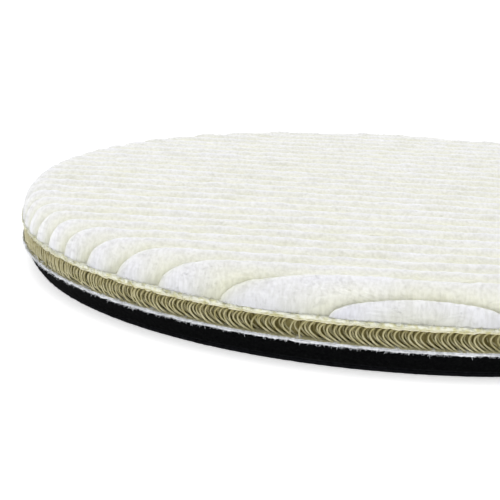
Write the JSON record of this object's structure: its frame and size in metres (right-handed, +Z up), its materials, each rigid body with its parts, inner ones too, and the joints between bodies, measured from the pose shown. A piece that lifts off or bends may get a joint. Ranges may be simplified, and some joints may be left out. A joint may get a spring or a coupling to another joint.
{
  "type": "polishing pad",
  "caption": "Round plush polishing pad on a springy spacer mesh, with a tapered foam and loop backing for a hook-faced plate.",
  "frame": {"origin": "centre of the underside, on the loop backing, with the pad lying plush face up", "axes": "+Z up out of the plush face, along the pad's axis; +X along the rows of pile; +Y across the rows"},
  "size_m": [0.1504, 0.1504, 0.0144],
  "materials": {
    "white_plush": "soft white pile, matte",
    "cream_knit": "cream warp knit, matte",
    "spacer_yarn": "olive-cream monofilament, slight gloss",
    "white_web": "white fleece web, matte",
    "black_foam": "black fine-cell foam, matte",
    "loop_fabric": "black brushed loop fabric, matte"
  },
  "bodies": {
    "backing": {"loop_nap": "loop_fabric", "loop_ground_cloth": "loop_fabric", "foam_cushion": "black_foam", "lower_bond_web": "white_web", "spacer_lower_face": "white_web", "spacer_yarns": "spacer_yarn"},
    "face": {"spacer_upper_face": "cream_knit", "upper_bond_web": "cream_knit", "pile_ground_cloth": "cream_knit", "pile_row_01": "white_plush", "pile_row_02": "white_plush", "pile_row_03": "white_plush", "pile_row_04": "white_plush", "pile_row_05": "white_plush", "pile_row_06": "white_plush", "pile_row_07": "white_plush", "pile_row_08": "white_plush", "pile_row_09": "white_plush", "pile_row_10": "white_plush", "pile_row_11": "white_plush", "pile_row_12": "white_plush", "pile_row_13": "white_plush", "pile_row_14": "white_plush", "pile_row_15": "white_plush", "pile_row_16": "white_plush", "pile_row_17": "white_plush", "pile_row_18": "white_plush", "pile_row_19": "white_plush", "pile_row_20": "white_plush", "pile_row_21": "white_plush", "pile_row_22": "white_plush", "pile_row_23": "white_plush", "pile_row_24": "white_plush", "pile_row_25": "white_plush", "pile_row_26": "white_plush", "pile_row_27": "white_plush", "pile_row_28": "white_plush"}
  },
  "joints": [
    {"name": "spacer_give", "type": "slide", "parent": "backing", "child": "face", "axis": [0, 0, 1], "range_m": [-0.0008, 0], "stiffness_N_per_m": 60000, "deforming": ["spacer_yarns"]}
  ]
}
